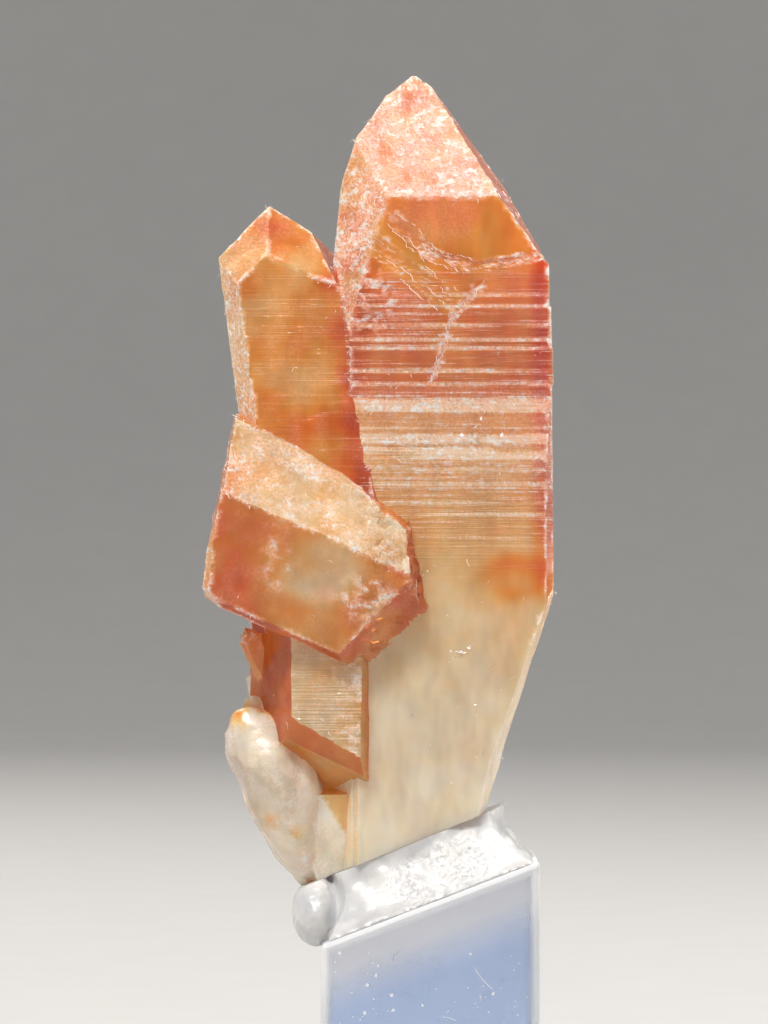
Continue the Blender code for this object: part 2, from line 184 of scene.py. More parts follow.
def rough(p, size, seed):
    """Smooth noise between -1 and 1 whose lumps are about that many millimetres wide."""
    q = p / size + 13.7 * seed
    cell = np.floor(q).astype(np.int64)
    t = q - cell
    t = t * t * (3.0 - 2.0 * t)
    total = np.zeros(len(p))
    for corner in range(8):
        step = np.array((corner & 1, corner >> 1 & 1, corner >> 2 & 1))
        at = cell + step
        mixed = at[:, 0] * 73856093 ^ at[:, 1] * 19349663 ^ at[:, 2] * 83492791
        mixed = (mixed ^ mixed >> 13) * 1274126177
        level = ((mixed ^ mixed >> 16) & 0xFFFF) / 32767.5 - 1.0
        total += level * np.prod(np.where(step == 1, t, 1.0 - t), axis=1)
    return total


# The planes of each crystal. A face is (label, normal, point, relief), and the relief says how
# far the real surface lies behind the plane.


def scattered_ledges(rng, low, high, count):
    """Small ledges at uneven heights between two levels."""
    room = (high - low) / count
    ledges = []
    for i in range(count):
        foot = low + room * (i + 0.15 + 0.5 * rng.random())
        step = rng.uniform(*SIDE_LEDGE_STEP)
        ledges.append((foot + step * rng.uniform(1.0, 3.0), foot, step))
    return ledges


def ledge_relief(ledges, axis=UP):
    """Relief of a side face that steps out, going down, at each (top, foot, step) ledge."""
    heights, depths = [], []
    inset = 0.0
    for top, foot, step in sorted(ledges):
        heights += [foot, top]
        depths += [inset, inset + step]
        inset += step
    return lambda p: np.interp(p @ axis, heights, depths)


def growth(size, depth, seed):
    """Relief of a face with low rounded growth hills."""
    fine = size / 2.6
    return lambda p: depth * (0.5 + 0.35 * rough(p, size, seed) + 0.15 * rough(p, fine, seed + 1))


def together(*reliefs):
    return lambda p: sum(relief(p) for relief in reliefs)


def half_turn_corner(start, azimuth, width):
    """Where a side face that starts at one corner ends, going round away from the front."""
    turn = -1.0 if azimuth < 0 else 1.0
    return start + facing(azimuth + 90.0 * turn) * width


def line_gap(flat, start, end):
    """How far (x, z) places lie from the line between two of them."""
    a, b = np.array(start), np.array(end)
    along = np.clip((flat - a) @ (b - a) / (b - a).dot(b - a), 0.0, 1.0)
    return np.linalg.norm(flat - a - along[:, None] * (b - a), axis=1)


def chip_relief(p):
    """Ragged chips on the upper part of the main point's front face."""
    depth = np.zeros(len(p))
    flat = p[:, [0, 2]] + 0.16 * np.stack((rough(p, 0.8, 3), rough(p, 0.7, 4)), 1)
    for start, end, width, deepest in MAIN_CHIPS:
        away = line_gap(flat, start, end)
        depth = np.maximum(depth, deepest * np.clip(1.25 - 2.5 * away / width, 0.0, 1.0))
    return depth


def chip_edges(p):
    """1 on the thin crinkled ridges that run along the chips, 0 elsewhere: frosted fracture edges with
    painted glints.
    """
    flat = p[:, [0, 2]] + 0.22 * np.stack((rough(p, 0.6, 5), rough(p, 0.5, 6)), 1)
    ridge = np.zeros(len(p))
    for start, end, width, _ in MAIN_CHIPS:
        away = line_gap(flat, start, end)
        for reach in (0.1, 0.42):
            ridge = np.maximum(ridge, 1.0 - smooth(np.abs(away - reach * width), 0.02, 0.09))
    return ridge * smooth(rough(p, 0.9, 9), -0.5, 0.1)


def pit_relief(p):
    """Pitted patch at the left of the main front face, and a few stray pits lower down."""
    here = spot(p, (-3.9, 58.4), (2.4, 3.6)) + 0.6 * spot(p, (3.6, 49.3), (1.6, 1.9))
    return 0.16 * here * smooth(rough(p, 0.55, 7) + 0.4 * rough(p, 0.3, 8), 0.05, 0.45)


def corner_relief(p):
    """Worn lower left of the main front face, where the second point comes through on a slant."""
    edge = MAIN_LEFT_EDGE + 0.14 * (51.9 - p[:, 2])
    return 0.5 * smooth(edge - p[:, 0], -0.1, 0.35) * smooth(-p[:, 2], -52.5, -51.0)


def main_point():
    front_left = np.array((MAIN_LEFT_EDGE, MAIN_FRONT, 0.0))
    front_right = (MAIN_RIGHT_EDGE, MAIN_FRONT, 0.0)
    left = half_turn_corner(front_left, -60.0, MAIN_LEFT_FACE)
    right = half_turn_corner(front_right, 60.0, MAIN_RIGHT_FACE)
    top_front = MAIN_FRONT + sum(step for _, _, step in MAIN_FRONT_LEDGES)
    rng = random.Random(4)
    sides = {
        name: ledge_relief(scattered_ledges(rng, low, high, count))
        for name, low, high, count in (
            ("right", 42.0, 60.0, 4), ("right_back", 36.0, 64.0, 8), ("back", 38.0, 66.0, 8),
            ("left_back", 36.0, 64.0, 8), ("left", 50.0, 60.0, 3),
        )
    }
    front = together(ledge_relief(MAIN_FRONT_LEDGES), chip_relief, pit_relief, corner_relief)
    frosted = growth(1.1, 0.14, 11)
    steep = growth(0.9, 0.2, 21)
    broken = growth(2.2, 0.22, 31)
    return [
        ("front", facing(0.0), front_left, front),
        ("right", facing(60.0), front_right, sides["right"]),
        ("right_back", facing(120.0), right, sides["right_back"]),
        ("back", facing(180.0), (0.0, MAIN_BACK, 0.0), sides["back"]),
        ("left_back", facing(-120.0), left, sides["left_back"]),
        ("left", facing(-60.0), front_left, together(sides["left"], growth(0.8, 0.08, 17))),
        ("tip_front", facing(0.0, 58.0), (0.0, top_front, 65.8), frosted),
        ("tip_right", facing(78.0, 55.0), (4.65, top_front, 65.97), growth(0.9, 0.1, 13)),
        ("tip_left", facing(-36.0, 79.8), (-3.1, top_front, 65.8), steep),
        ("tip_left", facing(-105.0, 46.0), (-2.6, 1.5, 73.4), steep),
        ("tip_left", facing(-100.0, 61.0), (-4.3, 1.0, 70.9), steep),
        ("tip_left", facing(-97.0, 73.0), (-5.9, 0.5, 67.1), steep),
        ("tip_back", facing(180.0, 52.0), MAIN_TIP, frosted),
        ("tip_back", facing(130.0, 60.0), MAIN_TIP, frosted),
        ("foot", facing(62.0, 107.2), (8.47, -3.65, 37.15), broken),
        ("foot", facing(160.0, 104.0), (2.0, MAIN_BACK, 33.0), broken),
        ("foot", facing(90.0, 107.6), (4.0, 0.0, 23.6), broken),
    ]


def main_foot():
    broken = growth(2.6, 0.25, 33)
    return [
        ("front", facing(0.0), (0.0, MAIN_FRONT, 0.0), None),
        ("foot", facing(64.0, 100.0), (5.3, MAIN_FRONT, 32.6), broken),
        ("foot", facing(118.0, 98.0), (5.6, 0.6, 31.0), broken),
        ("left", facing(-60.0), (-5.0, MAIN_FRONT, 0.0), None),
        ("left", facing(-120.0), (-6.5, -1.8, 0.0), None),
        ("back", facing(172.0, 97.0), (0.0, 3.6, 30.0), broken),
        ("back", facing(120.0), (8.2, -3.65, 0.0), broken),
        ("foot", facing(90.0, 107.6), (4.0, 0.0, 23.6), broken),
        ("top", facing(0.0, 25.0), (0.0, 0.0, 40.0), None),
    ]


def second_point():
    def inset(p):
        """Keeps the right face a little behind its plane, clear of the main point's corner."""
        return 0.45 + 0.05 * rough(p, 1.2, 45)

    axis = unit(SECOND_LEAN)
    front_left = (-13.05, -3.0, 57.0)
    ridge_foot = (-11.4, -2.34, 61.7)
    rng = random.Random(8)
    at_left = ledge_relief(scattered_ledges(rng, 46.0, 60.0, 5), axis)
    behind = ledge_relief(scattered_ledges(rng, 44.0, 60.0, 5), axis)
    side_tip = growth(0.7, 0.12, 49)
    right_tip = growth(0.9, 0.08, 51)
    return [
        ("front", upright(0.0, axis), front_left, growth(1.4, 0.14, 41)),
        ("left", upright(-60.0, axis), front_left, growth(0.7, 0.16, 43)),
        ("left_back", upright(-120.0, axis), (-14.25, -0.92, 57.0), at_left),
        ("back", upright(180.0, axis), (-11.0, 3.4, 57.0), behind),
        ("right", upright(120.0, axis), (-3.5, 0.0, 57.0), None),
        ("right", upright(60.0, axis), (-5.0, -3.0, 57.0), inset),
        ("tip_front", facing(12.0, 55.0), ridge_foot, growth(0.9, 0.09, 47)),
        ("tip_left", facing(-31.4, 57.5), ridge_foot, side_tip),
        ("tip_left", facing(-100.0, 47.8), SECOND_TIP, side_tip),
        ("tip_right", facing(100.0, 34.0), SECOND_TIP, right_tip),
        ("tip_right", facing(80.0, 60.0), (-7.6, 0.0, 62.5), right_tip),
        ("tip_back", facing(180.0, 50.0), SECOND_TIP + np.array((0.0, 0.3, -0.15)), None),
        ("under", facing(0.0, 180.0), (-10.0, 0.0, 41.0), None),
    ]


def cross_crystal():
    drop = math.radians(CROSS_DROP)
    up = np.array((math.sin(drop), 0.0, math.cos(drop)))
    out = np.array((0.0, -1.0, 0.0))

    def side(tilt):
        """Normal of a face along the axis, tilted up from the front by some degrees."""
        return out * math.cos(math.radians(tilt)) + up * math.sin(math.radians(tilt))

    def chipped(p):
        """Sharp little chips, mostly at the lower right end."""
        where = 0.05 + 0.95 * smooth(p[:, 0], -5.4, -3.4)
        return 0.2 * where * smooth(rough(p, 0.6, 55) + 0.5 * rough(p, 0.35, 56), -0.1, 0.6)

    upper = together(growth(1.6, 0.12, 57), chipped)
    lower = together(growth(2.4, 0.12, 59), chipped)
    ends = growth(0.8, 0.2, 61)
    chipped_ends = together(ends, chipped)
    under = growth(1.2, 0.15, 63)
    back = growth(1.2, 0.15, 67)
    return [
        ("upper", side(31.0), (-9.7, -7.2, 43.3), upper),
        ("lower", side(-5.0), (-9.7, -7.2, 43.3), lower),
        ("rim", side(-52.0), (-11.1, -6.6, 36.3), chipped),
        ("under", side(-95.0), (-11.1, -5.9, 35.7), under),
        ("top", side(80.0), (-9.0, -1.0, 49.0), growth(1.0, 0.1, 65)),
        ("back", side(178.0), (-9.0, 2.6, 42.0), back),
        ("back", side(130.0), (-9.0, 1.0, 46.0), back),
        ("under", side(-140.0), (-9.0, 1.6, 36.6), under),
        ("left", facing(-84.0, 76.5), (-14.2, -6.2, 46.5), ends),
        ("left", facing(-50.0, 88.0), (-14.9, -6.9, 42.0), ends),
        ("left", facing(-96.0, 82.0), (-15.45, -5.5, 40.8), ends),
        ("left", facing(-75.0, 128.0), (-15.6, -6.0, 38.6), growth(0.8, 0.1, 69)),
        ("right", facing(74.0, 80.0), (-1.2, -6.3, 40.4), chipped_ends),
        ("right", facing(48.0, 46.0), (-2.9, -5.6, 43.6), chipped_ends),
        ("right", facing(34.6, 122.5), (-0.83, MAIN_FRONT, 36.3), chipped_ends),
    ]


def stub_column():
    front_left = np.array((STUB_LEFT_EDGE, STUB_FRONT, 0.0))
    left = half_turn_corner(front_left, -60.0, 6.0)
    rng = random.Random(15)
    in_front = ledge_relief(scattered_ledges(rng, 28.5, 35.0, 6))
    at_left = ledge_relief(scattered_ledges(rng, 29.0, 35.0, 3))
    return [
        ("front", facing(0.0), front_left, together(in_front, growth(0.9, 0.1, 71))),
        ("right", facing(60.0), (STUB_RIGHT_EDGE, STUB_FRONT, 0.0), growth(0.8, 0.12, 73)),
        ("left", facing(-60.0), front_left, together(at_left, growth(0.9, 0.1, 75))),
        ("back", facing(-120.0), left, None),
        ("back", facing(180.0), (0.0, 3.4, 0.0), growth(1.4, 0.15, 77)),
        ("top", facing(0.0, 20.0), (-8.0, 0.0, 42.0), None),
        ("back", facing(-170.0, 48.0), (-10.0, 3.4, 35.5), growth(1.4, 0.15, 77)),
        ("slant", facing(-38.0, 140.0), (-9.24, STUB_FRONT, 28.3), growth(1.0, 0.08, 79)),
        ("break", facing(-14.0, 112.0), (-8.9, -4.3, 26.2), growth(1.3, 0.08, 81)),
    ]


def small_point(foot, lean, width, length, turn):
    axis, foot = unit(lean), np.array(foot)
    faces = [("under", -axis, foot - axis * 3.0, None)]
    for k in range(6):
        out = upright(turn + 60.0 * k, axis)
        tip = unit(out * 0.72 + axis * (0.69 if k % 2 else 0.58))
        reach = width * (0.5 if k % 3 else 0.42)
        faces.append(("side", out, foot + out * reach, growth(1.0, 0.08, 83 + k)))
        faces.append(("tip", tip, foot + axis * length, growth(0.8, 0.08, 91 + k)))
    return faces


def base_fill():
    return [
        ("front", facing(-10.0, 97.0), (-7.0, -3.4, 22.0), growth(1.6, 0.2, 101)),
        ("front", facing(-75.0, 112.0), (-8.9, -1.0, 19.5), growth(1.6, 0.2, 101)),
        ("back", facing(-105.0, 95.0), (-9.4, 0.5, 21.0), growth(1.6, 0.2, 103)),
        ("back", facing(170.0), (-6.0, 2.6, 20.0), growth(1.6, 0.2, 103)),
        ("back", facing(90.0), (-3.0, 0.0, 20.0), None),
        ("top", facing(-30.0, 14.0), (-7.5, -2.0, 24.6), growth(1.6, 0.2, 105)),
    ]


def knob_outside(p):
    """How far points lie outside the milky lump at the lower left, less than zero inside it."""
    high = (p[:, 2] - KNOB_MIDDLE[2]) / (KNOB_RADII[2] + KNOB_LEAN[2])
    leant = p[:, :2] - KNOB_MIDDLE[:2] - high[:, None] * KNOB_LEAN[:2]
    swell = 1.0 + KNOB_SWELL * np.clip(high, -1.2, 1.2)
    q = np.column_stack((leant / KNOB_RADII[:2] / swell[:, None], high))
    reach = np.linalg.norm(q, axis=1) + 1e-9
    x, y, z = (q / reach[:, None]).T
    bump = np.sin(5.1 * x + 1.0) * np.sin(4.3 * y) + 0.7 * np.sin(7.0 * z + 2.0 * x)
    creases = 0.08 * np.abs(rough(p, 1.9, 111)) + 0.03 * np.abs(rough(p, 0.7, 112))
    return (reach - 1.0 - 0.05 * bump + 0.07 - creases) * 2.9


CRYSTALS = [
    ("main", main_point()),
    ("foot", main_foot()),
    ("second", second_point()),
    ("cross", cross_crystal()),
    ("stub", stub_column()),
    ("fill", base_fill()),
] + [("small", small_point(*spec)) for spec in SMALL_POINTS]
UNDERSIDE = (facing(90.0, 180.0 - BASE_SLANT), BASE_POINT)
# Every kind of face gets a number, so that each triangle knows which crystal's face it is on.
FACE_KINDS = sorted({(name, label) for name, faces in CRYSTALS for label, _, _, _ in faces})
FACE_KINDS += [("knob", "lump"), ("base", "underside")]


SOLIDS = [
    (
        faces,
        np.stack([normal for _, normal, _, _ in faces]),
        np.array([normal.dot(point) for _, normal, point, _ in faces]),
        np.array([FACE_KINDS.index((name, label)) for label, _, _, _ in faces]),
    )
    for name, faces in CRYSTALS
]
# No relief goes deeper than this, so a plane further from deciding than that is left as it is.
DEEPEST_RELIEF = 1.6
# Stands for the distance to the next face where there is none.
NO_FACE_NEAR = 9.0


def stone_outside(p, edges=False):
    """How far points lie outside the stone, and the number of the kind of face that decides it.

    With edges, it also gives how far each point is from the next face of the same crystal.
    """
    nearest = np.full(len(p), 1e9)
    kind = np.zeros(len(p), int)
    gap = np.full(len(p), NO_FACE_NEAR)
    for faces, normals, offsets, numbers in SOLIDS:
        away = p @ normals.T - offsets
        worst = away.max(axis=1)
        here = np.flatnonzero(worst < nearest)
        away, worst = away[here], worst[here]
        near_skin = np.abs(worst) < DEEPEST_RELIEF
        for i, (_, _, _, relief) in enumerate(faces):
            if relief is not None:
                close = near_skin & (away[:, i] > worst - DEEPEST_RELIEF)
                away[close, i] += relief(p[here[close]])
        worst = away.max(axis=1)
        closer = worst < nearest[here]
        nearest[here[closer]] = worst[closer]
        kind[here[closer]] = numbers[away[closer].argmax(axis=1)]
        if edges:
            gap[here[closer]] = worst[closer] - np.partition(away[closer], -2, axis=1)[:, -2]
    lump = knob_outside(p)
    closer = lump < nearest
    nearest[closer] = lump[closer]
    kind[closer] = FACE_KINDS.index(("knob", "lump"))
    gap[closer] = NO_FACE_NEAR
    below = (p - UNDERSIDE[1]) @ UNDERSIDE[0]
    cut = below > nearest
    nearest[cut] = below[cut]
    kind[cut] = FACE_KINDS.index(("base", "underside"))
    return (nearest, kind, gap) if edges else (nearest, kind)


# Surfaces from a rule: the mesh follows where the rule gives zero and keeps its sharp edges.


def crossings(outside, value, lines, axis):
    """Where the surface crosses the grid's lines along one axis, with its normals and neighbour cells."""
    low = np.take(value, range(value.shape[axis] - 1), axis)
    high = np.take(value, range(1, value.shape[axis]), axis)
    at = np.stack(np.nonzero((low < 0) != (high < 0)), 1)
    leaving = low[tuple(at.T)] < 0
    start = np.stack([lines[k][at[:, k]] for k in range(3)], 1)
    end = start.copy()
    end[:, axis] = lines[axis][at[:, axis] + 1]
    for _ in range(HALVINGS):
        middle = (start + end) / 2
        same = (outside(middle) < 0) == leaving
        start[same] = middle[same]
        end[~same] = middle[~same]
    place = (start + end) / 2
    tiny = 0.004
    slope = np.stack([outside(place + d) - outside(place - d) for d in np.eye(3) * tiny], 1)
    normal = slope / (np.linalg.norm(slope, axis=1, keepdims=True) + 1e-12)
    u, v = (axis + 1) % 3, (axis + 2) % 3
    cells = []
    for du, dv in ((-1, -1), (0, -1), (0, 0), (-1, 0)):
        cell = at.copy()
        cell[:, u] += du
        cell[:, v] += dv
        cells.append(cell)
    cells = np.stack(cells, 1)
    cells[~leaving] = cells[~leaving][:, ::-1]
    return place, normal, cells


def contour(outside, lines):
    """Vertices and triangles of the closed surface where outside() is zero."""
    shape = [len(line) for line in lines]
    grid = np.stack(np.meshgrid(*lines, indexing="ij"), -1).reshape(-1, 3)
    parts = np.array_split(grid, 1 + len(grid) // 100000)
    value = np.concatenate([outside(part) for part in parts]).reshape(shape)
    found = [crossings(outside, value, lines, axis) for axis in range(3)]
    place = np.concatenate([part[0] for part in found])
    normal = np.concatenate([part[1] for part in found])
    cells = np.concatenate([part[2] for part in found])
    flat = np.ravel_multi_index(tuple(cells.reshape(-1, 3).T), shape)
    used, index = np.unique(flat, return_inverse=True)
    owner = np.repeat(np.arange(len(place)), 4)
    count = np.bincount(index, minlength=len(used))

    def gather(values):
        return np.bincount(index, weights=values[owner], minlength=len(used))

    middle = np.stack([gather(place[:, k]) for k in range(3)], 1) / count[:, None]
    square = np.empty((len(used), 3, 3))
    for i in range(3):
        for j in range(3):
            square[:, i, j] = gather(normal[:, i] * normal[:, j])
    reach = np.einsum("ij,ij->i", normal, place)
    pull = np.stack([gather(normal[:, k] * reach) for k in range(3)], 1)
    pull -= np.einsum("nij,nj->ni", square, middle)
    square += np.eye(3) * (HOLD * count)[:, None, None]
    vertices = middle + np.linalg.solve(square, pull[:, :, None])[:, :, 0]
    corner = np.stack(np.unravel_index(used, shape), 1)
    lowest = np.stack([lines[k][corner[:, k]] for k in range(3)], 1)
    highest = np.stack([lines[k][corner[:, k] + 1] for k in range(3)], 1)
    vertices = np.clip(vertices, lowest, highest)
    quads = index.reshape(-1, 4)
    a, b, c, d = (vertices[quads[:, k]] for k in range(4))
    first = np.abs(outside((a + c) / 2)) <= np.abs(outside((b + d) / 2))
    halves = np.where(
        first[:, None, None],
        quads[:, [[0, 1, 2], [0, 2, 3]]],
        quads[:, [[0, 1, 3], [1, 2, 3]]],
    )
    return vertices, halves.reshape(-1, 3)


def spaced(low, high, step):
    return np.linspace(low, high, max(2, round((high - low) / step) + 1))


def add_object(name, data):
    made = bpy.data.objects.new(name, data)
    bpy.context.scene.collection.objects.link(made)
    return made


def mesh_object(name, vertices, faces, look, sharp_degrees=None):
    """A new smooth-shaded object from vertices in millimetres, with its material."""
    mesh = bpy.data.meshes.new(name)
    mesh.from_pydata((np.asarray(vertices) * MM).tolist(), [], [list(map(int, face)) for face in faces])
    mesh.update()
    mesh.shade_smooth()
    if sharp_degrees is not None:
        mesh.set_sharp_from_angle(angle=math.radians(sharp_degrees))
    mesh.materials.append(look)
    return add_object(name, mesh)


def carried(piece, slot, *nodes):
    """Hangs a piece of the object on the root body and hides the CAD parts that it stands for. Its slot
    is not used.
    """
    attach(piece, "root")
    if nodes:
        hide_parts(*nodes)


# Paint: how strongly each place is stained, frosted, milky and lined, from 0 to 1. The frost also carries
# painted glints and highlights.


def paint_main(label, p):
    x, z = p[:, 0], p[:, 2]
    stain = np.interp(
        z, (22, 30, 36, 41, 44, 47, 50, 52.5, 60, 61.5, 66, 75),
        (0.08, 0.12, 0.24, 0.4, 0.5, 0.55, 0.6, 0.76, 0.72, 0.66, 0.64, 0.64),
    )
    frost = np.interp(z, (40, 44, 47, 52, 53, 60), (0.03, 0.16, 0.38, 0.34, 0.06, 0.02))
    milk = np.interp(z, (20, 30, 40, 52, 60), (0.85, 0.75, 0.68, 0.55, 0.5))
    if label == "front":
        # Ledge bands are painted whiter and lighter: partly frosted terraces, partly painted highlight on
        # the steps that face up.
        ledges = np.zeros(len(p))
        for top, foot, step in MAIN_FRONT_LEDGES:
            band = smooth(z, foot - 0.14, foot) * smooth(-z, -top - 0.14, -top)
            ledges = np.maximum(ledges, min(1.0, 0.5 + 4.0 * step) * band)
        ledges *= smooth(rough(p * (0.3, 1.0, 2.0), 1.2, 128), -0.7, 0.1)
        # The chip ridges are painted white: partly frosted fracture, partly painted glints.
        chips = chip_edges(p)
        frost = np.maximum(np.maximum(frost, 0.95 * ledges), chips)
        stain -= 0.2 * ledges
        stain += 0.24 * spot(p, (5.8, 39.3), (3.2, 2.4)) * (0.85 + 0.4 * rough(p, 1.1, 122))
        stain += 0.35 * smooth(x, 6.6, 7.9) * smooth(z, 36.0, 40.0)
        stain += 0.15 * smooth(-x, 3.6, 5.2) * smooth(z, 50.0, 54.0)
        pinkish = spot(p, (0.6, 64.2), (4.4, 2.4)) + 0.8 * spot(p, (-2.2, 57.5), (3.2, 3.2))
        frost += 0.2 * pinkish
        stain += 0.06 * pinkish
        wedge = 1.0 - smooth(line_gap(p[:, [0, 2]], (-3.7, 62.6), (1.3, 58.6)), 0.8625, 1.15)
        frost *= 1.0 - 0.85 * wedge
        stain -= 0.08 * wedge
        frost = np.maximum(frost, 0.7 * chips)
        clear = spot(p, (4.0, 63.2), (1.3, 2.6)) + spot(p, (-4.2, 62.4), (0.8, 1.6))
        frost *= 1.0 - 0.7 * clear
        stain -= 0.06 * clear
        milk += 0.3 * smooth(z, 57.0, 60.0)
        # Painted glints: white squiggles of frost over the pitted patch.
        sparkle = spot(p, (-3.9, 58.4), (2.2, 3.6)) * smooth(rough(p, 0.35, 130), 0.1, 0.4)
        frost = np.maximum(frost, 0.9 * sparkle)
    elif label == "left":
        stain += 0.18 + 0.1 * rough(p, 1.0, 123)
        frost += 0.25
    elif label in ("right", "right_back"):
        stain = np.interp(z, (33, 37, 42, 70), (0.25, 0.6, 0.9, 0.92))
    elif label.startswith("tip"):
        frost = 0.68 + 0.4 * rough(p, 1.6, 124) + 0.25 * rough(p, 0.6, 125)
        stain = 0.72 + 0.12 * rough(p, 1.3, 133)
        if label == "tip_front":
            frost = np.maximum(frost, 0.95 * smooth(-z, -66.7, -66.1))
        if label == "tip_right":
            stain = 0.9 + 0.1 * rough(p, 0.8, 134)
            frost *= 0.6
        elif label == "tip_left":
            stain = 0.66 + 0.15 * rough(p, 1.2, 126)
            frost += 0.1
    elif label == "foot":
        frost += 0.2
        stain += 0.1 * smooth(z, 33.0, 38.0)
    else:
        stain += 0.1 * rough(p, 2.0, 127)
        frost += 0.15
    lined = 1.0 if label in ("front", "left", "right", "right_back", "left_back", "back") else 0.0
    lined *= smooth(z, 38.0, 45.0) * smooth(-z, -60.9, -60.2)
    return stain, frost, milk, lined


def paint_second(label, p):
    x, z = p[:, 0], p[:, 2]
    stain = 0.52 + 0.14 * rough(p, 1.6, 131) + 0.18 * smooth(-z, -54.0, -49.5)
    stain += 0.22 * smooth(x + 0.135 * (z - 57.0), -7.6, -6.2)
    stain += 0.18 * spot(p, (-11.2, 64.5), (2.2, 1.8))
    frost = 0.08 + 0.12 * rough(p, 0.9, 132)
    if label.startswith("left"):
        frost += 0.6
        stain -= 0.1
    elif label == "tip_left":
        frost += 0.3
    elif label.startswith("tip"):
        frost += 0.08
        stain += 0.08
    return stain, frost, 0.52, 0.0 if label.startswith("tip") else 0.15


# What some faces of the cross crystal have more of: stain and frost.
CROSS_SHIFTS = {"rim": (0.28, -0.1), "under": (0.28, -0.1), "left": (0.1, 0.35), "right": (0.22, 0.1)}


def paint_cross(label, p):
    x, z = p[:, 0], p[:, 2]
    stain = 0.58 + 0.2 * rough(p, 2.0, 141)
    frost = 0.1 + 0.15 * rough(p, 0.8, 142)
    if label == "upper":
        stain = 0.34 + 0.15 * rough(p, 1.8, 143) + 0.4 * smooth(-x, 12.2, 14.5)
        frost = 0.5 + 0.3 * rough(p, 1.0, 144) + 0.2 * rough(p, 0.4, 145)
    elif label == "lower":
        stain += 0.2 * smooth(-x, 10.5, 13.5) - 0.28 * spot(p, (-7.4, 39.8), (3.6, 3.0))
        frost += 0.45 * spot(p, (-10.6, 40.6), (1.5, 3.4)) * smooth(rough(p, 0.6, 146), -0.2, 0.3)
        stain += 0.15 * smooth(x, -3.4, -2.0)
        # Painted glints: a mass of white frost flecks at the lower right.
        frost += 0.7 * spot(p, (-4.6, 37.9), (2.6, 2.2)) * smooth(rough(p, 0.5, 147), -0.3, 0.3)
    else:
        more_stain, more_frost = CROSS_SHIFTS.get(label, (0.0, 0.0))
        stain += more_stain
        frost += more_frost
    return stain, frost, 0.5, 0.0


def paint_stub(label, p):
    x, z = p[:, 0], p[:, 2]
    stain = 0.3 + 0.12 * rough(p, 1.6, 151) + 0.35 * smooth(x, -5.2, -4.2)
    frost = 0.15 + 0.2 * rough(p, 0.7, 152)
    if label == "front":
        # Painted glints: white flecks of frost on the right part of the stub's front.
        painted_glitter = smooth(x, -7.4, -6.0) * smooth(rough(p * (1.0, 1.0, 2.2), 0.7, 154), -0.1, 0.3)
        frost = np.maximum(frost, 0.9 * painted_glitter)
    elif label == "left":
        stain = 0.84 + 0.08 * rough(p, 1.2, 153)
        frost *= 0.5
    elif label == "slant":
        stain = 0.5 + 0.08 * rough(p, 1.2, 155)
        frost *= 0.3
    elif label == "break":
        stain = 0.74
        frost *= 0.2
    elif label == "back":
        stain += 0.12
    return stain - 0.15 * smooth(-z, -26.0, -22.0), frost, 0.45, 0.7 if label == "front" else 0.0


def paint_knob(_, p):
    spots = spot(p, (-10.9, 22.4), (0.8, 0.8)) + spot(p, (-9.2, 21.8), (0.7, 0.8))
    stain = 0.05 + 0.4 * spots * (0.7 + 0.4 * rough(p, 0.5, 161)) + 0.06 * rough(p, 1.6, 162)
    stain += 0.55 * smooth(p[:, 2], 28.3, 30.0) * smooth(rough(p, 1.2, 163), -0.4, 0.2)
    frost = 0.3 + 0.35 * rough(p, 1.1, 164) + 0.5 * smooth(rough(p, 1.3, 165), 0.35, 0.6)
    return stain, frost, 0.68 + 0.2 * rough(p, 2.4, 166), 0.0


def paint_plain(_, p):
    z = p[:, 2]
    stain = np.interp(z, (18, 26, 32, 36, 40), (0.06, 0.1, 0.2, 0.3, 0.6)) + 0.08 * rough(p, 1.5, 171)
    frost = 0.3 + 0.25 * rough(p, 1.0, 172)
    left_limit = -8.6 + 0.6 * (26.0 - z)
    slab = smooth(p[:, 0] - left_limit, -0.1, 0.1) * smooth(z, 21.3, 21.6) * (p[:, 1] < 0.0)
    stain += 0.4 * slab
    frost *= 1.0 - 0.8 * slab
    return stain, frost, np.interp(z, (20, 30, 40), (0.8, 0.6, 0.3)), 0.0


PAINTERS = {
    "main": paint_main, "foot": paint_main, "second": paint_second, "cross": paint_cross,
    "stub": paint_stub, "knob": paint_knob,
}


def paint_stone(stone, vertices, triangles):
    """Stores stain, frost, milk and lines at each face corner, by the kind of face that it is on.

    It gives back the mean frost of each triangle.
    """
    middle = vertices[triangles].mean(axis=1)
    kinds = stone_outside(middle)[1]
    gap = stone_outside(vertices, edges=True)[2]
    # Painted glints along the crystal edges: frost raised where two faces meet, partly chipped wear and
    # partly painted highlight, and none low down.
    edge_wear_and_glint = 0.9 * (1.0 - smooth(gap, 0.02, 0.2)) * smooth(rough(vertices, 0.7, 181), -0.5, 0.1)
    edge_wear_and_glint *= 1.0 - 0.9 * smooth(-vertices[:, 2], -36.0, -33.0)
    edge_wear_and_glint = edge_wear_and_glint[triangles].ravel()
    corners = vertices[triangles].reshape(-1, 3)
    corner_kinds = np.repeat(kinds, 3)
    paint = np.zeros((len(corners), 4), np.float32)
    for number, (name, label) in enumerate(FACE_KINDS):
        here = corner_kinds == number
        if here.any():
            values = PAINTERS.get(name, paint_plain)(label, corners[here])
            paint[here] = np.clip(np.stack(np.broadcast_arrays(*values), 1), 0.0, 1.0)
    paint[:, 1] = np.maximum(paint[:, 1], edge_wear_and_glint)
    stored = stone.data.attributes.new("paint", "FLOAT_COLOR", "CORNER")
    stored.data.foreach_set("color", paint.ravel())
    return paint[:, 1].reshape(-1, 3).mean(axis=1)


# Materials.


